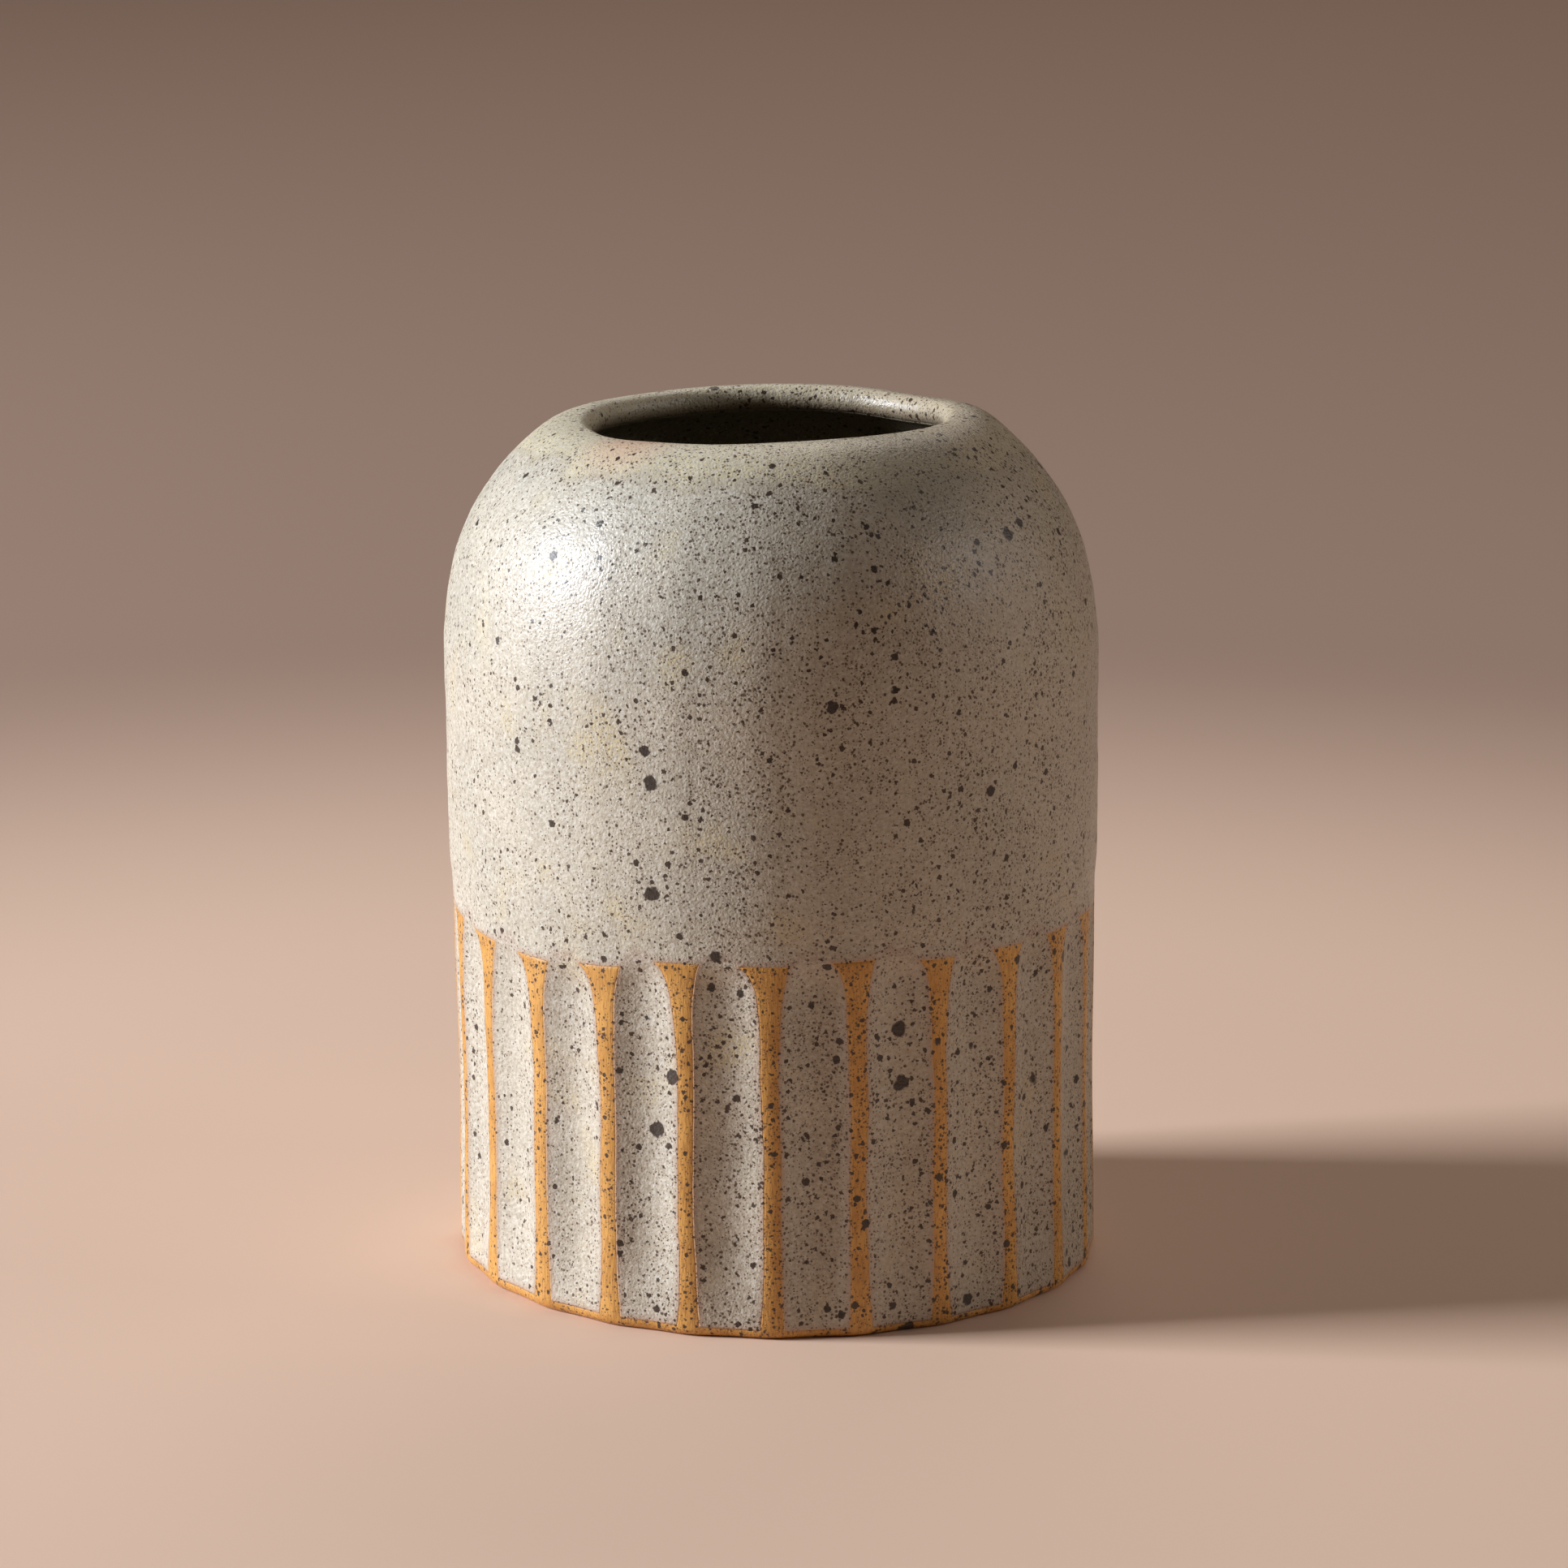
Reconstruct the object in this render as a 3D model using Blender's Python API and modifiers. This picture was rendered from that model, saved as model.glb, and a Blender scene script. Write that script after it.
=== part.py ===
"""Ceramic bud vase.

A wheel-thrown stoneware pot with a round shoulder and a rolled-in lip. Upright
scoops, called flutes here, are carved side by side round its lower wall. The glaze
fills every flute and covers the upper wall, the shoulder and the lip, and the
ridges between the flutes stay bare clay. A second coat of glaze lines the inside.
The pot stands on the world's XY plane, with its axis on +Z.
"""

import math

import bpy

# Driving dimensions, in metres
HEIGHT = 0.121
BODY_RADIUS = 0.046
SHOULDER_START_Z = 0.088

LIP_CREST_RADIUS = 0.02654
LIP_NOSE = 0.0025

WALL_THICKNESS = 0.0054
FLOOR_TOP_Z = 0.0065
FLOOR_CORNER = 0.009

GLAZE_THICKNESS = 0.0005
GAP = 0.0003

BARE_CLAY_RADIUS = 0.0454
FLUTE_TOP_Z = 0.0523
FLUTE_COUNT = 24
FLUTE_TOOL_RADIUS = 0.0078
FLUTE_DEPTH = 0.0019
FLUTE_ARCH_START_Z = 0.0448
FLUTE_ARCH_LENGTH = 0.014
FLUTE_GLAZE_START_Z = 0.0016

FOOT_EDGE_ROUND = 0.0012
FOOT_INNER_RADIUS = 0.0365
FOOT_RECESS_RADIUS = 0.0355
FOOT_RECESS_DEPTH = 0.002

POT_STEPS = 48
FLUTE_TOOL_STEPS = 32

# Values that follow from the driving dimensions
CLAY_INSET = GLAZE_THICKNESS + GAP
NOSE_CENTRE_Z = HEIGHT - LIP_NOSE
LIP_UNDERSIDE_Z = HEIGHT - 2 * LIP_NOSE
INNER_WALL_RADIUS = BODY_RADIUS - WALL_THICKNESS

# Colours of the pieces
CLAY_COLOUR = (0.72, 0.42, 0.19, 1.0)
OUTER_GLAZE_COLOUR = (0.66, 0.61, 0.52, 1.0)
LINER_GLAZE_COLOUR = (0.60, 0.56, 0.46, 1.0)


def clear_scene():
    """Start from an empty scene."""
    for old in list(bpy.data.objects):
        bpy.data.objects.remove(old, do_unlink=True)


def new_collection(name):
    """Add a collection to the scene."""
    collection = bpy.data.collections.new(name)
    bpy.context.scene.collection.children.link(collection)
    return collection


def ceramic(name, colour, roughness):
    """A fired surface: Principled BSDF with no metal in it."""
    material = bpy.data.materials.new(name)
    material.use_nodes = True
    shader = material.node_tree.nodes["Principled BSDF"]
    shader.inputs["Base Color"].default_value = colour
    shader.inputs["Roughness"].default_value = roughness
    shader.inputs["Metallic"].default_value = 0.0
    return material


def arc(centre, across, up, start, end, count):
    """Points (radius, z) on an ellipse, from one angle to another, in degrees."""
    points = []
    for i in range(count + 1):
        angle = math.radians(start + (end - start) * i / count)
        points.append((centre[0] + across * math.cos(angle), centre[1] + up * math.sin(angle)))
    return points


def outside(inset, nose_start=180.0):
    """The lip and the shoulder, from the lip's nose down to the upright wall.

    inset is how far the surface lies under the finished skin.
    """
    nose_radius = LIP_NOSE - inset
    nose = arc((LIP_CREST_RADIUS, NOSE_CENTRE_Z), nose_radius, nose_radius, nose_start, 90.0, 3)
    across = BODY_RADIUS - LIP_CREST_RADIUS - inset
    up = HEIGHT - SHOULDER_START_Z - inset
    shoulder = arc((LIP_CREST_RADIUS, SHOULDER_START_Z), across, up, 90.0, 0.0, 8)
    return nose + shoulder[1:]


def inside(inset):
    """The inner skin, from the lip's nose down the wall to the middle of the floor."""
    nose_radius = LIP_NOSE - inset
    nose = arc((LIP_CREST_RADIUS, NOSE_CENTRE_Z), nose_radius, nose_radius, 180.0, 270.0, 3)
    across = INNER_WALL_RADIUS - LIP_CREST_RADIUS + inset
    up = LIP_UNDERSIDE_Z - SHOULDER_START_Z + inset
    shoulder = arc((LIP_CREST_RADIUS, SHOULDER_START_Z), across, up, 90.0, 0.0, 6)
    corner_centre = (INNER_WALL_RADIUS - FLOOR_CORNER, FLOOR_TOP_Z + FLOOR_CORNER)
    corner_radius = FLOOR_CORNER + inset
    corner = arc(corner_centre, corner_radius, corner_radius, 0.0, -90.0, 4)
    return nose + shoulder[1:] + corner + [(0.0, FLOOR_TOP_Z - inset)]


def turned(name, profile, collection, steps, closed=False):
    """A shape thrown on the wheel: a profile of (radius, z) points with a Screw modifier."""
    mesh = bpy.data.meshes.new(name)
    points = [(radius, 0.0, z) for radius, z in profile]
    edges = [(i, i + 1) for i in range(len(points) - 1)]
    if closed:
        edges.append((len(points) - 1, 0))
    mesh.from_pydata(points, edges, [])
    item = bpy.data.objects.new(name, mesh)
    collection.objects.link(item)
    screw = item.modifiers.new("turn", "SCREW")
    screw.axis = "Z"
    screw.angle = math.tau
    screw.screw_offset = 0.0
    screw.steps = steps
    screw.render_steps = steps
    screw.use_merge_vertices = True
    screw.merge_threshold = 0.000001
    screw.use_smooth_shade = True
    return item


def as_cutter(item):
    """Show an object as a wire outline only."""
    item.display_type = "WIRE"
    item.hide_render = True
    return item


def flute_tools(name, moved_out):
    """One upright round-ended bar for each flute, standing half in the pot's wall.

    moved_out is how far the bars stand further from the axis than the carving tool.
    """
    collection = new_collection(name)
    end = arc((0.0, FLUTE_ARCH_START_Z), FLUTE_TOOL_RADIUS, FLUTE_ARCH_LENGTH, 90.0, 0.0, 5)
    foot_z = -0.005
    profile = end + [(FLUTE_TOOL_RADIUS, foot_z), (0.0, foot_z)]
    profile[0] = (0.0, profile[0][1])
    from_axis = BARE_CLAY_RADIUS - FLUTE_DEPTH + FLUTE_TOOL_RADIUS + moved_out
    first = turned(name + "_00", profile, collection, FLUTE_TOOL_STEPS)
    for i in range(FLUTE_COUNT):
        # The ridges between the flutes lie on the world's X and Y axes
        angle = math.tau * (i + 0.5) / FLUTE_COUNT
        if i == 0:
            tool = first
        else:
            tool = first.copy()
            tool.name = "%s_%02d" % (name, i)
            collection.objects.link(tool)
        tool.location = (from_axis * math.cos(angle), from_axis * math.sin(angle), 0.0)
        tool.rotation_euler = (0.0, 0.0, angle)
        as_cutter(tool)
    return collection


def carve(item, tools):
    """Cut every object of a collection out of an item."""
    cut = item.modifiers.new("carve " + tools.name, "BOOLEAN")
    cut.operation = "DIFFERENCE"
    cut.operand_type = "COLLECTION"
    cut.collection = tools
    cut.solver = "EXACT"


def take_out(item, core):
    """Cut one object out of an item."""
    cut = item.modifiers.new("take out " + core.name, "BOOLEAN")
    cut.operation = "DIFFERENCE"
    cut.operand_type = "OBJECT"
    cut.object = core
    cut.solver = "EXACT"


def stoneware_body(collection):
    """The clay pot: floor, wall, shoulder and lip in one piece, on a trimmed foot ring."""
    band_z = FLUTE_TOP_Z - GAP
    glazed_radius = BODY_RADIUS - CLAY_INSET
    edge_centre = (BARE_CLAY_RADIUS - FOOT_EDGE_ROUND, FOOT_EDGE_ROUND)
    foot = arc(edge_centre, FOOT_EDGE_ROUND, FOOT_EDGE_ROUND, 0.0, -90.0, 3)
    profile = inside(CLAY_INSET)[::-1]
    profile += outside(CLAY_INSET)[1:]
    profile += [(glazed_radius, band_z), (BARE_CLAY_RADIUS, band_z)]
    profile += foot
    profile += [(FOOT_INNER_RADIUS, 0.0), (FOOT_RECESS_RADIUS, FOOT_RECESS_DEPTH)]
    profile += [(0.0, FOOT_RECESS_DEPTH)]
    body = turned("stoneware_body", profile, collection, POT_STEPS)
    carve(body, flute_tools("clay_flutes", 0.0))
    body.data.materials.append(ceramic("bare_stoneware", CLAY_COLOUR, 0.85))
    return body


def glaze_core(cutters):
    """What the outer glaze lies on: the clay grown by the gap, flutes and all."""
    depth = 0.0043
    core_top_inset = 0.002
    skin = outside(GLAZE_THICKNESS, nose_start=225.0)
    skin += [(BODY_RADIUS - GLAZE_THICKNESS, -0.002)]
    nose_radius = LIP_NOSE - core_top_inset
    nose = arc((LIP_CREST_RADIUS, NOSE_CENTRE_Z), nose_radius, nose_radius, 90.0, 225.0, 2)
    across = BODY_RADIUS - LIP_CREST_RADIUS - depth
    up = HEIGHT - SHOULDER_START_Z - core_top_inset
    hollow = [(BODY_RADIUS - depth, -0.002)]
    hollow += arc((LIP_CREST_RADIUS, SHOULDER_START_Z), across, up, 0.0, 90.0, 8)
    core = turned("glaze_core", skin + hollow + nose[1:], cutters, POT_STEPS, closed=True)
    carve(core, flute_tools("core_flutes", GAP))
    return as_cutter(core)


def outer_glaze(collection, cutters):
    """The outer coat: lip, shoulder and upper wall, with a finger down every flute."""
    depth = 0.0035
    blank_top_inset = 0.0012
    # The coat's fingers stay just under the faces of the bare ridges
    finger_radius = BARE_CLAY_RADIUS - 0.00005
    skin = outside(0.0)
    skin += [(BODY_RADIUS, FLUTE_TOP_Z), (finger_radius, FLUTE_TOP_Z)]
    skin += [(finger_radius, FLUTE_GLAZE_START_Z)]
    nose_radius = LIP_NOSE - blank_top_inset
    nose = arc((LIP_CREST_RADIUS, NOSE_CENTRE_Z), nose_radius, nose_radius, 90.0, 180.0, 3)
    across = BODY_RADIUS - LIP_CREST_RADIUS - depth
    up = HEIGHT - SHOULDER_START_Z - blank_top_inset
    back = [(BODY_RADIUS - depth, FLUTE_GLAZE_START_Z)]
    back += arc((LIP_CREST_RADIUS, SHOULDER_START_Z), across, up, 0.0, 90.0, 8)
    coat = turned("outer_glaze", skin + back + nose[1:], collection, POT_STEPS, closed=True)
    carve(coat, flute_tools("glaze_flutes", CLAY_INSET))
    take_out(coat, glaze_core(cutters))
    coat.data.materials.append(ceramic("speckled_glaze", OUTER_GLAZE_COLOUR, 0.42))
    return coat


def liner_glaze(collection):
    """The coat that was poured into the pot: from under the lip's nose to the floor."""
    face = inside(0.0)
    back = inside(GLAZE_THICKNESS)
    # It starts one gap below the edge of the outer coat
    top_z = NOSE_CENTRE_Z - GAP
    face[0] = (face[0][0], top_z)
    back[0] = (back[0][0], top_z)
    liner = turned("liner_glaze", face[::-1] + back, collection, POT_STEPS)
    liner.data.materials.append(ceramic("liner_glaze", LINER_GLAZE_COLOUR, 0.35))
    return liner


clear_scene()
vase = new_collection("ceramic_bud_vase")
cutter_shapes = new_collection("cutters")
stoneware_body(vase)
outer_glaze(vase, cutter_shapes)
liner_glaze(vase)
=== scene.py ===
import math

import bpy
import numpy as np
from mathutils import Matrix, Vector


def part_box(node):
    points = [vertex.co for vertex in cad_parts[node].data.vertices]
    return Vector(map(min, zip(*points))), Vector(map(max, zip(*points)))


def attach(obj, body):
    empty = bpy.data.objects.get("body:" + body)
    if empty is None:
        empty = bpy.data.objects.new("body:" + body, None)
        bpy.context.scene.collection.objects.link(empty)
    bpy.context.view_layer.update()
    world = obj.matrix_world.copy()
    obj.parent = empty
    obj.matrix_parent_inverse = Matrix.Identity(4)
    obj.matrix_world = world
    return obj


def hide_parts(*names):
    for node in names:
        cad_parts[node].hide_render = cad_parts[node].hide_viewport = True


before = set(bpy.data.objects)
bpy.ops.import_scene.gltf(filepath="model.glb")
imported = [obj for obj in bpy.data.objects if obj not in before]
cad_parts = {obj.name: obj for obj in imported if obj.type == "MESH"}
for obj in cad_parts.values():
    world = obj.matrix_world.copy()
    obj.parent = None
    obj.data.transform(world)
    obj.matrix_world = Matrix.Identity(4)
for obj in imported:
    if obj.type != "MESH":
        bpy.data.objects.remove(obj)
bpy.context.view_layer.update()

# ---------------------------------------------------------------------------------------
# Table top, light and camera. A pale matt surface runs far behind the vase. A soft window
# low on the left gives the light, dim cards on the right and above soften the shadow side,
# and the far end of the surface has a lamp of its own.
# ---------------------------------------------------------------------------------------
TABLE_WIDE = 8.0
PALE_TABLE = (0.76, 0.53, 0.39, 1)
FAR_TABLE_SHADE = (0.34, 0.22, 0.16, 1)
PALE_REACH = 0.17
DARK_FROM = 0.46
LOOK_DOWN = 12.67
bpy.ops.object.select_all(action="DESELECT")
bpy.ops.mesh.primitive_plane_add(size=1, location=(0, 0, 0))
table = bpy.context.object
table.name = "table_top"
bpy.ops.object.mode_set(mode="EDIT")
bpy.ops.transform.resize(value=(TABLE_WIDE, TABLE_WIDE, 1))
bpy.ops.mesh.subdivide(number_cuts=8)
bpy.ops.object.mode_set(mode="OBJECT")
table_paint = bpy.data.materials.new("pale_table_top")
table_paint.use_nodes = True
table_shader = table_paint.node_tree.nodes["Principled BSDF"]
table_shader.inputs["Roughness"].default_value = 0.85
# Painted light falloff: the top is painted palest around the vase and darker a few hands off, as
# painted shade where the light fades
table_nodes, table_links = table_paint.node_tree.nodes, table_paint.node_tree.links
spot = table_nodes.new("ShaderNodeTexCoord")
distance = table_nodes.new("ShaderNodeVectorMath")
distance.operation = "LENGTH"
light_falloff = table_nodes.new("ShaderNodeMapRange")
light_falloff.interpolation_type = "SMOOTHSTEP"
light_falloff.inputs["From Min"].default_value = PALE_REACH
light_falloff.inputs["From Max"].default_value = DARK_FROM
tone = table_nodes.new("ShaderNodeMix")
tone.data_type = "RGBA"
tone.inputs[6].default_value = PALE_TABLE
tone.inputs[7].default_value = FAR_TABLE_SHADE
table_links.new(spot.outputs["Object"], distance.inputs[0])
table_links.new(distance.outputs["Value"], light_falloff.inputs["Value"])
table_links.new(light_falloff.outputs["Result"], tone.inputs[0])
table_links.new(tone.outputs[2], table_shader.inputs["Base Color"])
table.data.materials.append(table_paint)

air = bpy.data.worlds.new("soft_room_light")
air.use_nodes = True
glow = air.node_tree.nodes["Background"]
glow.inputs["Color"].default_value = (1.0, 0.60, 0.36, 1)
glow.inputs["Strength"].default_value = 0.024
bpy.context.scene.world = air

# Each lamp's name, place, aim, size, power in watts, and colour
lamps = (
    ("left_window", (-2.02, -0.12, 0.90), (0, 0, 0.05), (0.60, 0.95), 88.0, (0.865, 0.915, 1.0)),
    ("right_card", (0.85, -0.16, 0.52), (0, 0, 0.08), (0.34, 0.34), 0.98, (0.92, 0.96, 1.0)),
    ("right_wall", (1.15, 0.12, 0.40), (0, 0, 0.06), (0.9, 0.7), 1.7, (1.0, 0.86, 0.74)),
    ("top_card", (0.75, 0.45, 1.30), (0, 0, 0.08), (0.7, 0.7), 1.0, (1.0, 0.88, 0.78)),
    ("far_lamp", (0.35, 2.2, 1.9), (0.25, 2.0, 0.0), (1.5, 1.5), 14.0, (1.0, 0.90, 0.84)),
)
for name, place, aim, size, power, colour in lamps:
    lamp = bpy.data.lights.new(name, "AREA")
    lamp.shape = "RECTANGLE"
    lamp.size, lamp.size_y = size
    lamp.energy = power
    lamp.color = colour
    stand = bpy.data.objects.new(name, lamp)
    bpy.context.scene.collection.objects.link(stand)
    stand.location = place
    stand.rotation_euler = (Vector(aim) - Vector(place)).to_track_quat("-Z", "Y").to_euler()

lens = bpy.data.cameras.new("camera")
lens.lens = 134.16
lens.sensor_width = 36
lens.clip_start = 0.01
camera = bpy.data.objects.new("camera", lens)
bpy.context.scene.collection.objects.link(camera)
camera.location = (0.00155, -0.8087, 0.2496)
camera.rotation_euler = (math.radians(90 - LOOK_DOWN), 0, 0)
bpy.context.scene.camera = camera
bpy.context.scene.view_settings.view_transform = "Standard"

# ---------------------------------------------------------------------------------------
# The clay pot. Speckled stoneware, thrown on the wheel and closed in to a rolled lip. When
# it was leather hard, a loop tool pulled upwards cut 24 shallow flutes side by side, and
# left the ridges between them. The ridges and the bottom edge are bare golden clay.
# ---------------------------------------------------------------------------------------
MM = 0.001
_, clay_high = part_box("stoneware_body")
_, coat_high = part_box("outer_glaze")
FLUTES = 24
CREST_Z = coat_high.z - 0.40 * MM
WALL_R = coat_high.x + 0.02 * MM
RIDGE_R = clay_high.x + 0.25 * MM
LIP_R = 26.5 * MM
LIP_NOSE_R = 1.95 * MM
LIP_END_TILT = 245
SHOULDER_Z = 88.0 * MM
UPPER_WALL_Z = 60.0 * MM
INNER_R = 40.6 * MM
FLOOR_Z = 6.5 * MM
FLOOR_CORNER_R = 9.0 * MM
UNDER_LINER = 0.5 * MM
FLUTE_TOP_Z = 52.1 * MM
FLUTE_DEPTH = 1.32 * MM
RIDGE_HALF = 1.05 * MM
FOOT_ROUND = 1.2 * MM
FOOT_LINE_Z = 1.25 * MM
FOOT_INNER_R = 36.5 * MM
RECESS_Z = 2.0 * MM
GLAZE_OVER_CLAY = 0.36 * MM
FAR_FROM_CLAY = 10.0 * MM
WELD = 0.002 * MM
FRONT_RIDGE = math.radians(-90.9)
NUDGE_X = 0.57 * MM
# Where the rim stands up or dips: how much in mm, then its middle and its width in degrees
RIM_SWELLS = ((0.45, 10, 11), (-0.30, 43, 10), (-0.45, 215, 14),
              (0.10, -50, 24), (0.40, 160, 15), (-0.30, -108, 14))
hand = np.random.default_rng(24)


def smooth(t):
    """An even S from 0 to 1."""
    t = np.clip(t, 0.0, 1.0)
    return t * t * (3 - 2 * t)


def hump(angle, middle, wide):
    """A round swelling on one side of the pot, its middle and its width in degrees."""
    return np.exp((np.cos(angle - math.radians(middle)) - 1) / math.radians(wide) ** 2)


def quiver(along, starts, waves, sizes):
    """A hand's slow wander: a few waves, each with its own length and start."""
    total = np.zeros(np.broadcast(along, starts[0]).shape)
    for start, wave, size in zip(starts, waves, sizes):
        total = total + size * np.sin(math.tau * along / wave + start)
    return total


# Rows of the outer face from the foot's contact line up: radius, height, and the way out
rows = []
for tilt in np.linspace(-90, 0, 7)[:-1]:
    out_r, out_z = math.cos(math.radians(tilt)), math.sin(math.radians(tilt))
    rows.append((RIDGE_R - FOOT_ROUND * (1 - out_r), FOOT_ROUND * (1 + out_z), out_r, out_z))
FOOT_ROWS = len(rows)
foot_heights = FOOT_ROUND + MM * np.array((0.0, 0.3, 0.6, 0.95, 1.35, 1.8, 2.4, 3.1, 4.0))
flute_heights = np.arange(6.6, 42.5, 1.3) * MM
top_heights = FLUTE_TOP_Z - np.linspace(9.0, 0.0, 17) * MM
for z in np.concatenate((foot_heights, flute_heights, top_heights)):
    rows.append((RIDGE_R, z, 1.0, 0.0))
TOP_ROW = len(rows) - 1
for rise in (0.12, 0.3, 0.6, 1.0, 1.5, 2.1, 2.8, 3.7, 4.8, 6.2):
    rows.append((RIDGE_R, FLUTE_TOP_Z + rise * MM, 1.0, 0.0))
for z in np.linspace(60.5 * MM, SHOULDER_Z, 13):
    rows.append((RIDGE_R, z, 1.0, 0.0))
SHOULDER_ROW = len(rows)
shoulder_wide = WALL_R - LIP_R
shoulder_high = CREST_Z - SHOULDER_Z
for tilt in np.radians(np.linspace(0, 90, 25)[1:]):
    out = np.array((math.cos(tilt) / shoulder_wide, math.sin(tilt) / shoulder_high))
    out = out / np.linalg.norm(out)
    rows.append((LIP_R + shoulder_wide * math.cos(tilt),
                 SHOULDER_Z + shoulder_high * math.sin(tilt), *out))
for tilt in np.radians(np.linspace(90, LIP_END_TILT, 15)[1:]):
    rows.append((LIP_R + LIP_NOSE_R * math.cos(tilt),
                 CREST_Z - LIP_NOSE_R + LIP_NOSE_R * math.sin(tilt),
                 math.cos(tilt), math.sin(tilt)))
row_r, row_z, row_out_r, row_out_z = np.array(rows).T
level = row_z[:, None]
# How far each row has turned over the lip, in degrees from the outside
lip_turn = np.degrees(np.arctan2(row_out_z, row_out_r)) % 360 * (row_z > SHOULDER_Z)
is_wall = (np.arange(len(rows)) < SHOULDER_ROW)[:, None]

# Columns of one flute, from the ridge on its left to the ridge on its right
ON_RIDGE = (0.0, 0.5, 0.82)
IN_FLUTE = (0.0, 0.018, 0.05, 0.10, 0.17, 0.27, 0.385, 0.5, 0.615, 0.73, 0.83, 0.90, 0.95, 0.982, 1.0)
OFF_RIDGE = (0.82, 0.5)
FLUTE_COLUMNS = len(ON_RIDGE) + len(IN_FLUTE) + len(OFF_RIDGE)
COLUMNS = FLUTES * FLUTE_COLUMNS
PITCH = math.tau / FLUTES
FLUTE_WIDE = PITCH * RIDGE_R - 2 * RIDGE_HALF

below = np.clip(FLUTE_TOP_Z - level, 0.0, None) / MM
above = np.clip(level - FLUTE_TOP_Z, 0.0, None) / MM
# Over the flutes the columns open out to even steps again
even_out = smooth(above / 9.0)
ridge_place = hand.normal(0.0, 0.10, FLUTES) * MM
ridge_wide = hand.uniform(-0.16, 0.22, FLUTES) * MM
ridge_top = hand.uniform(-0.25, 0.25, FLUTES) * MM
ridge_top_slope = hand.uniform(-0.06, 0.12, FLUTES)
flute_deep = hand.uniform(0.88, 1.1, FLUTES)
left_flare = hand.uniform(0.8, 1.2, FLUTES)
right_flare = hand.uniform(0.75, 1.2, FLUTES)
place_start = hand.uniform(0, math.tau, (FLUTES, 3))
left_start = hand.uniform(0, math.tau, (FLUTES, 4))
right_start = hand.uniform(0, math.tau, (FLUTES, 4))
deep_start = hand.uniform(0, math.tau, (FLUTES, 2))
foot_start = hand.uniform(0, math.tau, 5)


def ridge_angle(k):
    """Where ridge k runs at each height: it wanders a little to either side."""
    even = FRONT_RIDGE + k * PITCH
    side = ridge_place[k % FLUTES] + (1.15 * hump(even, -38, 24) + 0.6 * hump(even, -120, 8)) * MM
    side = side + quiver(level, place_start[k % FLUTES], (31 * MM, 17 * MM, 9 * MM),
                         (0.12 * MM, 0.05 * MM, 0.02 * MM))
    return even + side * (1 - even_out) / RIDGE_R


def half_ridge(k, starts, flare):
    """Half the width of ridge k: narrow in the middle, flared at its top and its foot."""
    half = RIDGE_HALF + 0.5 * ridge_wide[k % FLUTES] + flare
    half = half + 0.75 * MM * np.exp(-level / (4.5 * MM))
    return half + quiver(level, starts, (23 * MM, 8 * MM, 3.6 * MM, 1.9 * MM),
                         (0.06 * MM, 0.025 * MM, 0.02 * MM, 0.02 * MM))


angle = np.zeros((len(rows), COLUMNS + 1))
depth = np.zeros_like(angle)
from_ridge = np.zeros_like(angle)
thin_glaze = np.zeros_like(angle)
top_shift = np.zeros(COLUMNS + 1)
for k in range(FLUTES):
    start, end = ridge_angle(k), ridge_angle(k + 1)
    wide = (end - start) * RIDGE_R
    flare_left = 1.5 * MM * left_flare[k] * np.exp(-below / 4.0)
    spread = 2.0 * np.exp(-below / 1.8) + 0.8 * np.exp(-below / 7.0)
    flare_right = MM * right_flare[(k + 1) % FLUTES] * spread
    half_left = half_ridge(k, left_start[k], flare_left)
    half_right = half_ridge(k + 1, right_start[k], flare_right)
    inner = wide - half_left - half_right
    places = [half_left * part for part in ON_RIDGE]
    places += [half_left + inner * part for part in IN_FLUTE]
    places += [wide - half_right * part for part in OFF_RIDGE]
    across = np.concatenate(places, axis=1)
    evenly = np.linspace(0, 1, FLUTE_COLUMNS + 1)[None, :-1] * wide
    across = across + (evenly - across) * even_out
    span = slice(k * FLUTE_COLUMNS, (k + 1) * FLUTE_COLUMNS)
    angle[:, span] = start + across / RIDGE_R
    # The scoop is a shallow round trough, which fades just over the top of the flute
    part = np.clip((across - half_left) / inner, 0.0, 1.0)
    scoop = np.sin(np.pi * part) ** 1.08
    narrowing = np.clip(inner / FLUTE_WIDE, 0.0, 1.0) ** 1.3
    top_fade = smooth((FLUTE_TOP_Z + 2.2 * MM - level) / (5.5 * MM))
    foot_fade = 0.30 + 0.70 * smooth((level + 1 * MM) / (15 * MM))
    deep = FLUTE_DEPTH * flute_deep[k] * foot_fade * top_fade * narrowing
    deep = deep * (1 + quiver(level, deep_start[k], (13 * MM, 6 * MM), (0.05, 0.03)))
    # The ridge's own edges are a little rounded
    left_round = smooth((across - 0.3 * half_left) / (0.8 * half_left))
    right_round = smooth((wide - across - 0.3 * half_right) / (0.8 * half_right))
    worn = 0.13 * MM * np.minimum(left_round, right_round) * smooth(below + 0.5)
    depth[:, span] = deep * scoop + worn
    from_ridge[:, span] = np.minimum(across - half_left, wide - half_right - across)
    # A ridge's top slopes a little from its left end to its right
    near_left = (across < wide / 2)[TOP_ROW]
    slide = np.where(near_left, across[TOP_ROW], across[TOP_ROW] - wide[TOP_ROW])
    whose = np.where(near_left, k, (k + 1) % FLUTES)
    nearby = np.exp(-(slide / (4.5 * MM)) ** 2)
    top_shift[span] = (ridge_top[whose] - slide * ridge_top_slope[whose]) * nearby
    arch = np.exp(-((above - 1.1 - 0.1 * (k % 3)) / 0.85) ** 2)
    thin_glaze[:, span] = arch * smooth(part * 4) * smooth((1 - part) * 4)
angle[:, -1] = angle[:, 0] + math.tau
for grid in (depth, from_ridge, thin_glaze):
    grid[:, -1] = grid[:, 0]
top_shift[-1] = top_shift[0]
turn = angle[0]

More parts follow.
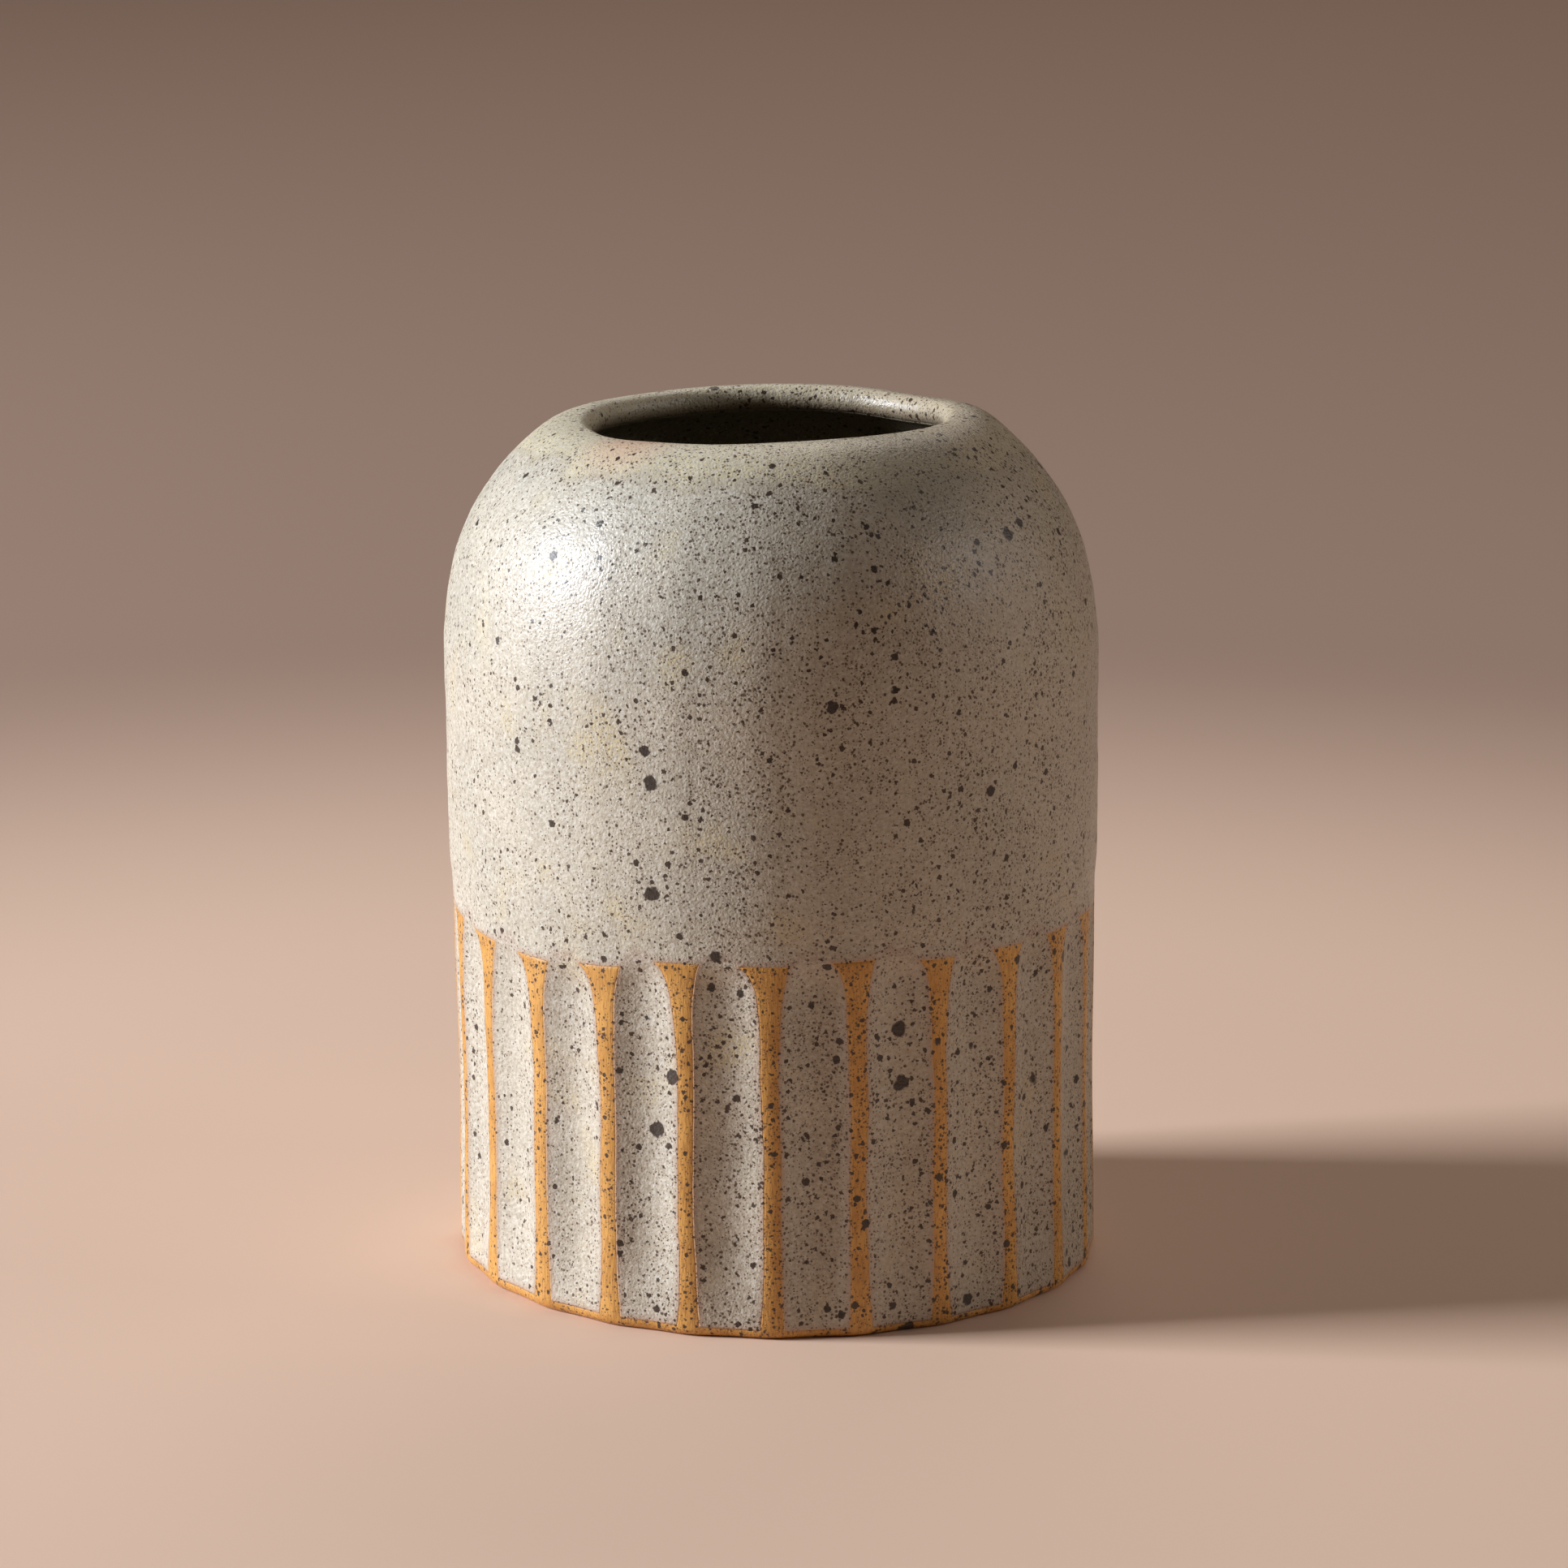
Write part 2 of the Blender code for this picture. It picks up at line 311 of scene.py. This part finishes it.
# The foot's edge is rounder on the left, and the tops of the ridges slope
foot_soft = 0.6 * MM * hump(angle, 205, 32)
follow = np.exp(-((level - FLUTE_TOP_Z) / (5.5 * MM)) ** 2)
height = level + follow * top_shift[None, :]
height = height + foot_soft * np.where(level < FOOT_ROUND, level / FOOT_ROUND,
                                       np.exp(-(level - FOOT_ROUND) / (4 * MM)))
# The flutes' tops were cut by eye, so their line dips on the left
uneven_line = 1.2 * hump(turn, -76, 11) + 0.6 * hump(turn, -106, 8) - 1.7 * hump(turn, -136, 13)
height = height + follow * (uneven_line * MM)[None, :]
foot_waves = math.tau / np.array((1, 2, 5, 11, 24))
foot_wave = quiver(turn, foot_start, foot_waves, (0.3, 0.2, 0.2, 0.15, 0.1))
foot_line = FOOT_LINE_Z * (1 + 0.30 * foot_wave) + foot_soft[0]

# How far each corner lies from the nearest bare clay: the ridges, and the bottom edge
over_top = height - FLUTE_TOP_Z - top_shift[None, :] - (uneven_line * MM)[None, :]
covered = np.where(level > FLUTE_TOP_Z, np.maximum(over_top, from_ridge), from_ridge)
covered = np.where(level >= UPPER_WALL_Z, FAR_FROM_CLAY, covered)
covered = np.clip(np.minimum(covered, height - foot_line[None, :]), 0.0, FAR_FROM_CLAY)


def lean(x, y, z):
    """The finished pot leans a little to the left, and its rim isn't quite level or round."""
    around = np.arctan2(y, x)
    high = smooth((z - 84 * MM) / (36 * MM))
    rim = smooth((z - 108 * MM) / (10 * MM))
    swell = 0.45 * np.sin(around) ** 2
    for size, middle, wide in RIM_SWELLS:
        swell = swell + size * hump(around, middle, wide)
    z = z + high * (0.017 * x - 0.0035 * y) + rim * swell * MM
    x = x - 1.05 * MM * (np.clip(z, 0, None) / (100 * MM)) ** 1.15 + NUDGE_X
    return x, y, z


def face(under):
    """Places of the outer face's corners, at that depth under the finished skin."""
    # The shoulder is a little slack, most of all on the right
    slack = 0.60 + 0.45 * hump(angle, -10, 42) - 0.30 * hump(angle, -98, 26)
    under = under + slack * MM * np.exp(-((lip_turn[:, None] - 46) / 20) ** 2)
    waist = 0.26 * MM * np.exp(-((level - 26 * MM) / (13 * MM)) ** 2)
    wall = (WALL_R - RIDGE_R) * smooth((level - 54 * MM) / (6 * MM)) - waist
    wall = np.where(is_wall, wall, 0.0)
    # Faint throwing rings, and a body that is not quite round
    thrown = smooth((level - 58 * MM) / (8 * MM)) * smooth((CREST_Z - level) / (4 * MM))
    rings = 0.035 * np.sin(math.tau * level / (6.3 * MM))
    rings = rings + 0.05 * np.sin(math.tau * level / (17 * MM) + 1.0)
    uneven = 0.14 * np.sin(2 * angle + 0.7) + 0.08 * np.sin(3 * angle + 2.1)
    uneven = uneven * smooth((level - 50 * MM) / (40 * MM))
    radius = row_r[:, None] + wall + (rings * thrown + uneven) * MM - depth - under * row_out_r[:, None]
    radius = radius - foot_soft * (1 - row_out_r[:, None]) * (level < FOOT_ROUND)
    z = height - under * row_out_z[:, None]
    return np.stack(lean(radius * np.cos(angle), radius * np.sin(angle), z), axis=-1)


def rolled_sheet(name, places):
    """A flat sheet with a corner for each place, rolled round the wheel's axis."""
    bpy.ops.object.select_all(action="DESELECT")
    rows_up, columns = places.shape[0] - 1, places.shape[1] - 1
    bpy.ops.mesh.primitive_grid_add(x_subdivisions=columns, y_subdivisions=rows_up, size=2)
    item = bpy.context.object
    item.name = name
    item.data.name = name
    flat = np.empty(len(item.data.vertices) * 3)
    item.data.vertices.foreach_get("co", flat)
    flat = flat.reshape(-1, 3)
    column = np.rint((flat[:, 0] + 1) / 2 * columns).astype(int)
    row = np.rint((flat[:, 1] + 1) / 2 * rows_up).astype(int)
    item.data.vertices.foreach_set("co", places[row, column].ravel())
    item.data.update()
    return item, row, column


def keep_numbers(item, name, values):
    """Keeps a number for each corner of a piece, for its material to read."""
    layer = item.data.attributes.new(name, "FLOAT", "POINT")
    layer.data.foreach_set("value", np.ascontiguousarray(values, np.float32))


def close_seam(item, faces_inwards=False):
    """Joins the sheet's two ends and its poles, and turns every face the same way."""
    bpy.ops.object.select_all(action="DESELECT")
    item.select_set(True)
    bpy.context.view_layer.objects.active = item
    bpy.ops.object.mode_set(mode="EDIT")
    bpy.ops.mesh.select_all(action="SELECT")
    bpy.ops.mesh.remove_doubles(threshold=WELD)
    bpy.ops.mesh.normals_make_consistent(inside=faces_inwards)
    bpy.ops.object.mode_set(mode="OBJECT")
    bpy.ops.object.shade_smooth()


# The clay lies under the glaze, and comes up to the skin where it is bare
clay_face = face(GLAZE_OVER_CLAY * (1 - np.exp(-covered / (0.4 * MM))))
clay_face[:, :, 2] = np.maximum(clay_face[:, :, 2], 0.0)


def ring(radius, z, around=turn):
    """One ring of corners inside the pot or under it, at the outer columns' angles or others."""
    x, y, up = lean(radius * np.cos(around), radius * np.sin(around), np.full_like(around, z))
    return np.stack((x, y, up), axis=-1)[None]


# Under the foot: a shallow trimmed recess, then the flat ring to stand on
under_foot = [ring(0.0, RECESS_Z - 0.2 * MM)]
for radius in (12 * MM, 24 * MM, 32 * MM, 34.6 * MM):
    under_foot.append(ring(radius, RECESS_Z - 0.2 * MM * (1 - radius / FOOT_INNER_R)))
# How far in from the foot ring's inner edge, and how high, in mm
for inset, z in ((1.2, 1.5), (0.3, 0.25), (0.0, 0.03), (-0.4, 0.0), (-3.5, 0.0)):
    under_foot.append(ring(FOOT_INNER_R - inset * MM, z * MM))

# Inside, under the liner: the back of the lip, the shoulder, the wall and the floor
inside = []
nose_r = LIP_NOSE_R - UNDER_LINER
nose_z = CREST_Z - LIP_NOSE_R
for tilt in np.radians(np.linspace(LIP_END_TILT, 270, 3)[1:]):
    inside.append(ring(LIP_R + nose_r * math.cos(tilt), nose_z + nose_r * math.sin(tilt)))
inner_top = CREST_Z - 2 * LIP_NOSE_R - SHOULDER_Z + UNDER_LINER
for tilt in np.radians(np.linspace(90, 0, 13)[1:]):
    inside.append(ring(LIP_R + (INNER_R - LIP_R + UNDER_LINER) * math.cos(tilt),
                       SHOULDER_Z + inner_top * math.sin(tilt)))
corner_z = FLOOR_Z + FLOOR_CORNER_R
for z in (60 * MM, 35 * MM, corner_z):
    inside.append(ring(INNER_R + UNDER_LINER, z))
corner_r = FLOOR_CORNER_R + UNDER_LINER
for tilt in np.radians(np.linspace(0, -90, 7)[1:]):
    inside.append(ring(INNER_R - FLOOR_CORNER_R + corner_r * math.cos(tilt),
                       corner_z + corner_r * math.sin(tilt)))
inside.append(ring(12 * MM, FLOOR_Z - UNDER_LINER))
inside.append(ring(0.0, FLOOR_Z - UNDER_LINER))

pot, row, column = rolled_sheet("stoneware_pot", np.concatenate(under_foot + [clay_face] + inside))
outer_row = row - len(under_foot)
safe_row = np.clip(outer_row, 0, len(rows) - 1)
on_ridge = (outer_row >= 0) & (outer_row <= TOP_ROW)
keep_numbers(pot, "to_glaze", np.where(on_ridge, np.abs(from_ridge[safe_row, column]) / MM, 5.0))
close_seam(pot)


def plug(value, socket):
    """Gives a socket a fixed value, or the end of another node."""
    if isinstance(value, bpy.types.NodeSocket):
        socket.id_data.links.new(value, socket)
    else:
        socket.default_value = value


def reckon(tree, operation, first, second=0.0, third=0.0):
    """One sum on numbers."""
    node = tree.nodes.new("ShaderNodeMath")
    node.operation = operation
    for value, socket in zip((first, second, third), node.inputs):
        plug(value, socket)
    return node.outputs[0]


def passing(tree, value, low, high, start=0.0, end=1.0):
    """Goes smoothly from start to end while the value goes from low to high."""
    node = tree.nodes.new("ShaderNodeMapRange")
    node.interpolation_type = "SMOOTHSTEP"
    for socket, number in zip(node.inputs, (value, low, high, start, end)):
        plug(number, socket)
    return node.outputs["Result"]


def brush(tree, share, under, over):
    """Lays one colour over another, by a share from 0 to 1."""
    node = tree.nodes.new("ShaderNodeMix")
    node.data_type = "RGBA"
    for value, socket in ((share, node.inputs[0]), (under, node.inputs[6]), (over, node.inputs[7])):
        plug(value, socket)
    return node.outputs[2]


def cloud(tree, place, size, detail=2.0):
    """Soft patches of about that many millimetres, as a number and as a colour."""
    node = tree.nodes.new("ShaderNodeTexNoise")
    plug(place, node.inputs["Vector"])
    node.inputs["Scale"].default_value = 1 / size
    node.inputs["Detail"].default_value = detail
    return node.outputs["Fac"], node.outputs["Color"]


def millimetres(tree, squeeze=(1, 1, 1)):
    """Places on the pot in millimetres, squeezed along an axis for a drawn-out pattern."""
    places = tree.nodes.new("ShaderNodeTexCoord")
    node = tree.nodes.new("ShaderNodeMapping")
    node.inputs["Scale"].default_value = [share / MM for share in squeeze]
    plug(places.outputs["Object"], node.inputs["Vector"])
    return node.outputs["Vector"]


def ragged(tree, place, size, reach):
    """Bends a pattern's outlines by up to that reach, in waves of that size."""
    node = tree.nodes.new("ShaderNodeVectorMath")
    node.operation = "MULTIPLY_ADD"
    plug(cloud(tree, place, size)[1], node.inputs[0])
    node.inputs[1].default_value = (2 * reach, 2 * reach, 2 * reach)
    plug(place, node.inputs[2])
    return node.outputs[0]


def specks(tree, place, cell, radius, share, soft=0.4):
    """Grains up to that radius, in that share of the cells, cut through by the surface."""
    node = tree.nodes.new("ShaderNodeTexVoronoi")
    plug(place, node.inputs["Vector"])
    node.inputs["Scale"].default_value = 1 / cell
    chance = tree.nodes.new("ShaderNodeSeparateColor")
    plug(node.outputs["Color"], chance.inputs[0])
    least, more = 0.4 * radius / cell, 0.6 * radius / cell
    edge = reckon(tree, "MULTIPLY_ADD", chance.outputs["Green"], more, least)
    core = reckon(tree, "MULTIPLY", edge, 1 - soft)
    grain = passing(tree, node.outputs["Distance"], core, edge, 1.0, 0.0)
    here = reckon(tree, "LESS_THAN", chance.outputs["Red"], share)
    return reckon(tree, "MULTIPLY", grain, here)


def attribute(tree, name):
    """A number kept on the piece's corners."""
    node = tree.nodes.new("ShaderNodeAttribute")
    node.attribute_name = name
    return node.outputs["Fac"]


def iron_specks(tree, paint, place):
    """Iron grains of the clay body: pepper, grains and a few big spots, over a colour."""
    fine = ragged(tree, place, 0.3, 0.10)
    rough = ragged(tree, place, 0.50, 0.36)
    broad = ragged(tree, place, 1.0, 0.55)
    # The pepper is real, but it is painted thinner on the lit left and thicker on the shaded right,
    # which adds painted shade there; the big spots gather lower down
    rise = tree.nodes.new("ShaderNodeSeparateXYZ")
    plug(place, rise.inputs[0])
    side = passing(tree, rise.outputs["X"], -44.0, 6.0, 0.50, 1.08)
    flock = passing(tree, cloud(tree, place, 7.0)[0], 0.35, 0.60, 0.50, 0.98)
    crowd = reckon(tree, "MULTIPLY", side, flock)
    clump = passing(tree, cloud(tree, place, 6.5, 3.0)[0], 0.42, 0.60, 0.24, 1.0)
    lower = passing(tree, rise.outputs["Z"], 50.0, 62.0, 0.95, 0.72)
    grit = reckon(tree, "MULTIPLY", reckon(tree, "MULTIPLY", side, lower), clump)
    big = reckon(tree, "MULTIPLY", side, passing(tree, rise.outputs["Z"], 40.0, 60.0, 0.50, 0.09))
    few = reckon(tree, "MULTIPLY_ADD", big, 0.7, 0.07)
    # Each layer's place, cell and largest radius in mm, share of cells, strength and colour
    layers = (
        (fine, 0.40, 0.19, crowd, 0.80, (0.13, 0.075, 0.040, 1)),
        (fine, 0.66, 0.29, reckon(tree, "MULTIPLY", crowd, 0.85), 0.90, (0.075, 0.042, 0.024, 1)),
        (rough, 1.2, 0.42, grit, 0.94, (0.042, 0.021, 0.011, 1)),
        (rough, 2.3, 0.66, reckon(tree, "MULTIPLY", grit, 0.50), 0.96, (0.036, 0.019, 0.010, 1)),
        (rough, 4.2, 0.92, few, 0.96, (0.032, 0.018, 0.011, 1)),
        (broad, 8.0, 1.45, big, 0.96, (0.034, 0.021, 0.015, 1)),
    )
    for where, cell, radius, share, strength, colour in layers:
        grain = specks(tree, where, cell, radius, share, 0.4 if cell < 1 else 0.22)
        paint = brush(tree, reckon(tree, "MULTIPLY", grain, strength), paint, colour)
    return paint


def new_finish(name, roughness):
    """A material with its shader."""
    finish = bpy.data.materials.new(name)
    finish.use_nodes = True
    shader = finish.node_tree.nodes["Principled BSDF"]
    shader.inputs["Roughness"].default_value = roughness
    return finish, finish.node_tree, shader


def dent(tree, shader, height_value, deep):
    """Lets a height pattern catch the light, that deep in metres."""
    node = tree.nodes.new("ShaderNodeBump")
    node.inputs["Distance"].default_value = deep
    plug(height_value, node.inputs["Height"])
    plug(node.outputs["Normal"], shader.inputs["Normal"])


# Bare clay: golden, grained upwards by the tool, toasted along the edge of the glaze
GOLD = (0.70, 0.36, 0.085, 1)
DEEP_GOLD = (0.59, 0.28, 0.055, 1)
GRAIN_BROWN = (0.38, 0.17, 0.045, 1)
QUARTZ = (0.88, 0.66, 0.40, 1)
TOAST = (0.50, 0.26, 0.10, 1)
EDGE_IRON = (0.12, 0.05, 0.03, 1)
RIDGE_IRON = (0.085, 0.038, 0.022, 1)
clay, tree, shader = new_finish("bare_stoneware", 0.45)
shader.inputs["Specular IOR Level"].default_value = 0.60
place = millimetres(tree)
drawn_up = millimetres(tree, (1, 1, 0.22))
grain, _ = cloud(tree, drawn_up, 0.30, 3.0)
patch, _ = cloud(tree, place, 5.0, 2.0)
paint = brush(tree, passing(tree, patch, 0.3, 0.7), GOLD, DEEP_GOLD)
paint = brush(tree, passing(tree, grain, 0.42, 0.72, 0.0, 0.65), paint, GRAIN_BROWN)
quartz = specks(tree, place, 0.5, 0.09, 0.5)
paint = brush(tree, reckon(tree, "MULTIPLY", quartz, 0.5), paint, QUARTZ)
toast = passing(tree, attribute(tree, "to_glaze"), 0.0, 0.35, 0.25, 0.0)
paint = brush(tree, toast, paint, TOAST)
edge_grit = specks(tree, ragged(tree, place, 0.4, 0.15), 0.62, 0.20, 0.6)
by_glaze = passing(tree, attribute(tree, "to_glaze"), 0.0, 0.5, 0.7, 0.0)
edge_grit = reckon(tree, "MULTIPLY", edge_grit, by_glaze)
paint = brush(tree, edge_grit, paint, EDGE_IRON)
iron = specks(tree, ragged(tree, place, 0.5, 0.22), 0.95, 0.34, 0.55, 0.25)
paint = brush(tree, iron, paint, RIDGE_IRON)
paint = iron_specks(tree, paint, place)
plug(paint, shader.inputs["Base Color"])
dent(tree, shader, grain, 0.08 * MM)
pot.data.materials.append(clay)
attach(pot, "root")
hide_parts("stoneware_body")

# ---------------------------------------------------------------------------------------
# The outer glaze. A satin stoneware glaze, pale warm grey, through which the clay's iron
# comes up as dark specks. It covers lip, shoulder and wall, and a finger of it fills every
# flute. Where it thins, along the ridges and over the flutes' tops, it turns pinkish.
# ---------------------------------------------------------------------------------------
COAT_DEEP = 0.25 * MM
# Behind the nose of the lip, the coat dips under the start of the liner
coat_face = face(0.22 * MM * smooth((lip_turn - 228) / 17)[:, None])
coat, row, column = rolled_sheet("speckled_glaze_coat", coat_face[FOOT_ROWS:])
row = row + FOOT_ROWS
keep_numbers(coat, "from_clay", covered[row, column] / MM)
keep_numbers(coat, "thin", thin_glaze[row, column])
# How far each corner has turned in under the lip: the share of the painted shade there
keep_numbers(coat, "inward", smooth((lip_turn - 128) / 95)[row])
# The faces over the bare ridges come off
ridge_column = np.ones(FLUTE_COLUMNS, bool)
ridge_column[len(ON_RIDGE) + 1:len(ON_RIDGE) + len(IN_FLUTE) - 1] = False
ridge_column = np.append(np.tile(ridge_column, FLUTES), ridge_column[0])
bare_corner = ridge_column[column] & (row <= TOP_ROW)
bpy.ops.object.mode_set(mode="EDIT")
bpy.ops.mesh.select_all(action="DESELECT")
bpy.ops.object.mode_set(mode="OBJECT")
for patch_face in coat.data.polygons:
    patch_face.select = all(bare_corner[corner] for corner in patch_face.vertices)
bpy.ops.object.mode_set(mode="EDIT")
bpy.ops.mesh.select_mode(type="FACE")
bpy.ops.mesh.delete(type="FACE")
bpy.ops.object.mode_set(mode="OBJECT")
close_seam(coat)


def give_thickness(item, thickness):
    """Turns a skin into a coat that reaches that far down from its face."""
    wall = item.modifiers.new("coat", "SOLIDIFY")
    wall.thickness = thickness
    wall.offset = -1
    bpy.context.view_layer.objects.active = item
    bpy.ops.object.modifier_apply(modifier="coat")


give_thickness(coat, COAT_DEEP)

# Where the flame left a blush, and where painted shade lies under the lip on the right, in millimetres,
# and the colours of the glaze
BLUSH_PLACE = (-19.0, -21.0, 120.0)
RIGHT_SHADE_PLACE = (24.0, -24.0, 122.0)
MOTTLE_DARK = (0.36, 0.30, 0.225, 1)
MOTTLE_PALE = (0.72, 0.69, 0.61, 1)
OCHRE = (0.64, 0.54, 0.31, 1)
LIP_CREAM = (0.74, 0.68, 0.53, 1)
SHADED_SIDE_BROWN = (0.36, 0.25, 0.155, 1)
TIDE_BROWN = (0.34, 0.285, 0.22, 1)
BLUSH = (0.62, 0.37, 0.24, 1)
SHADE_OLIVE_PAINT = (0.235, 0.215, 0.14, 1)
MAUVE = (0.46, 0.325, 0.245, 1)
RUST = (0.56, 0.32, 0.15, 1)
ARCH_BROWN = (0.40, 0.27, 0.215, 1)
LIP_PAINTED_SHADE = (0.14, 0.10, 0.062, 1)
LINER_PAINTED_SHADE = (0.15, 0.13, 0.085, 1)


def stoneware_glaze(name, pale, deep_tone, ochre_share, outside):
    """A satin glaze: two clouded tones, ochre patches, pits, and the iron of the clay."""
    finish, tree, shader = new_finish(name, 0.40)
    place = millimetres(tree)
    slow, _ = cloud(tree, place, 15.0, 3.0)
    paint = brush(tree, passing(tree, slow, 0.36, 0.64), pale, deep_tone)
    mottle, _ = cloud(tree, place, 0.55, 2.0)
    paint = brush(tree, passing(tree, mottle, 0.45, 0.72, 0.0, 0.60), paint, MOTTLE_DARK)
    paint = brush(tree, passing(tree, mottle, 0.28, 0.50, 0.60, 0.0), paint, MOTTLE_PALE)
    # Ochre comes in small grains, in patches and in a ring round the lip
    rise = tree.nodes.new("ShaderNodeSeparateXYZ")
    plug(place, rise.inputs[0])
    drift, _ = cloud(tree, place, 13.0, 2.0)
    lip_height = reckon(tree, "MULTIPLY_ADD", drift, 9.0, rise.outputs["Z"])
    by_lip = passing(tree, lip_height, 119.9, 122.0)
    patches = passing(tree, cloud(tree, place, 11.0, 2.0)[0], 0.56, 0.74)
    patches = reckon(tree, "MAXIMUM", patches, by_lip)
    grains, _ = cloud(tree, place, 0.42, 1.0)
    ochre = reckon(tree, "MULTIPLY", patches, passing(tree, grains, 0.42, 0.64, 0.15, 1.0))
    ochre = reckon(tree, "MULTIPLY", ochre, ochre_share)
    paint = brush(tree, ochre, paint, OCHRE)
    paint = brush(tree, reckon(tree, "MULTIPLY", by_lip, 0.12), paint, LIP_CREAM)
    # Painted shade: the glaze is painted browner towards the right, the side the window light doesn't
    # reach
    shaded_side = passing(tree, rise.outputs["X"], -12.0, 20.0, 0.0, 0.38)
    paint = brush(tree, shaded_side, paint, SHADED_SIDE_BROWN)
    # The ring ends in a faint dark tide line
    tide = reckon(tree, "MULTIPLY", by_lip, reckon(tree, "SUBTRACT", 1.0, by_lip))
    paint = brush(tree, reckon(tree, "MULTIPLY", tide, 1.1), paint, TIDE_BROWN)
    if outside:
        # A warm blush where the flame met the lip, at the front left
        from_blush = tree.nodes.new("ShaderNodeVectorMath")
        from_blush.operation = "DISTANCE"
        plug(place, from_blush.inputs[0])
        from_blush.inputs[1].default_value = BLUSH_PLACE
        blush = passing(tree, from_blush.outputs["Value"], 1.0, 10.0, 0.60, 0.0)
        paint = brush(tree, blush, paint, BLUSH)
        # Painted shade: an olive darkening under the lip on the right, where the shoulder is turned
        # from the light
        from_right_shade = tree.nodes.new("ShaderNodeVectorMath")
        from_right_shade.operation = "DISTANCE"
        plug(ragged(tree, place, 9.0, 4.0), from_right_shade.inputs[0])
        from_right_shade.inputs[1].default_value = RIGHT_SHADE_PLACE
        right_shade = passing(tree, from_right_shade.outputs["Value"], 4.0, 15.0, 0.46, 0.0)
        paint = brush(tree, right_shade, paint, SHADE_OLIVE_PAINT)
        # Thin over the clay's edges, the glaze lets a mauve brown through
        near_clay = attribute(tree, "from_clay")
        mauve = passing(tree, near_clay, 0.0, 1.20, 0.75, 0.0)
        paint = brush(tree, mauve, paint, MAUVE)
        rust = passing(tree, near_clay, 0.0, 0.30, 0.80, 0.0)
        paint = brush(tree, rust, paint, RUST)
        broken = passing(tree, mottle, 0.35, 0.6, 0.25, 0.60)
        arch = reckon(tree, "MULTIPLY", attribute(tree, "thin"), broken)
        paint = brush(tree, arch, paint, ARCH_BROWN)
        # Painted shade: inside the lip the glaze is painted dark towards the liner, under the nose of
        # the lip
        under_lip_shade = reckon(tree, "MULTIPLY", attribute(tree, "inward"), 0.84)
        paint = brush(tree, under_lip_shade, paint, LIP_PAINTED_SHADE)
    else:
        # Painted shade: the liner is painted darkest just under the lip, which shades it
        shade = passing(tree, rise.outputs["Z"], 106.0, 116.0, 0.0, 0.60)
        paint = brush(tree, shade, paint, LINER_PAINTED_SHADE)
    paint = iron_specks(tree, paint, place)
    plug(paint, shader.inputs["Base Color"])
    sheen_patch, _ = cloud(tree, place, 3.0, 3.0)
    plug(passing(tree, sheen_patch, 0.3, 0.7, 0.33, 0.45), shader.inputs["Roughness"])
    pits, _ = cloud(tree, place, 0.38, 1.5)
    dent(tree, shader, pits, 0.11 * MM)
    return finish


glaze = stoneware_glaze("speckled_glaze", (0.60, 0.545, 0.435, 1), (0.535, 0.495, 0.40, 1), 0.80, True)
coat.data.materials.append(glaze)
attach(coat, "root")
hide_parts("outer_glaze")

# ---------------------------------------------------------------------------------------
# The liner. The same glaze, poured in and out again, so that the vase holds water. It
# starts behind the nose of the lip, and covers the inner wall and the floor.
# ---------------------------------------------------------------------------------------
LINER_COLUMNS = 192
LINER_START_TILT = 226
skin = []
# Its first ring is sunk into the glaze of the lip
for tilt, sunk in zip(np.radians(np.linspace(LINER_START_TILT, 270, 5)), (0.2, 0, 0, 0, 0)):
    lap_r = LIP_NOSE_R - sunk * MM
    skin.append((LIP_R + lap_r * math.cos(tilt), nose_z + lap_r * math.sin(tilt)))
for tilt in np.radians(np.linspace(90, 0, 19)[1:]):
    skin.append((LIP_R + (INNER_R - LIP_R) * math.cos(tilt),
                 SHOULDER_Z + (CREST_Z - 2 * LIP_NOSE_R - SHOULDER_Z) * math.sin(tilt)))
for z in np.linspace(SHOULDER_Z, corner_z, 30)[1:]:
    # Throwing rings stand a little proud of the inner wall
    skin.append((INNER_R - 0.06 * MM * (1 - math.cos(math.tau * (SHOULDER_Z - z) / (9 * MM))), z))
for tilt in np.radians(np.linspace(0, -90, 9)[1:]):
    skin.append((INNER_R - FLOOR_CORNER_R + FLOOR_CORNER_R * math.cos(tilt),
                 corner_z + FLOOR_CORNER_R * math.sin(tilt)))
for radius in (26 * MM, 20 * MM, 13 * MM, 6 * MM, 0.0):
    skin.append((radius, FLOOR_Z))
liner_turn = np.linspace(0, math.tau, LINER_COLUMNS + 1)
liner_face = [ring(radius, z, liner_turn) for radius, z in reversed(skin)]
liner, _, _ = rolled_sheet("liner_glaze_coat", np.concatenate(liner_face))
close_seam(liner, faces_inwards=True)
give_thickness(liner, COAT_DEEP)
# Painted shade: the liner has the glaze's pattern in dark olive tones, for the shade inside the pot
painted_shade_lining = stoneware_glaze("liner_glaze", (0.27, 0.25, 0.165, 1), (0.20, 0.19, 0.12, 1), 0.3, False)
liner.data.materials.append(painted_shade_lining)
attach(liner, "root")
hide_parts("liner_glaze")
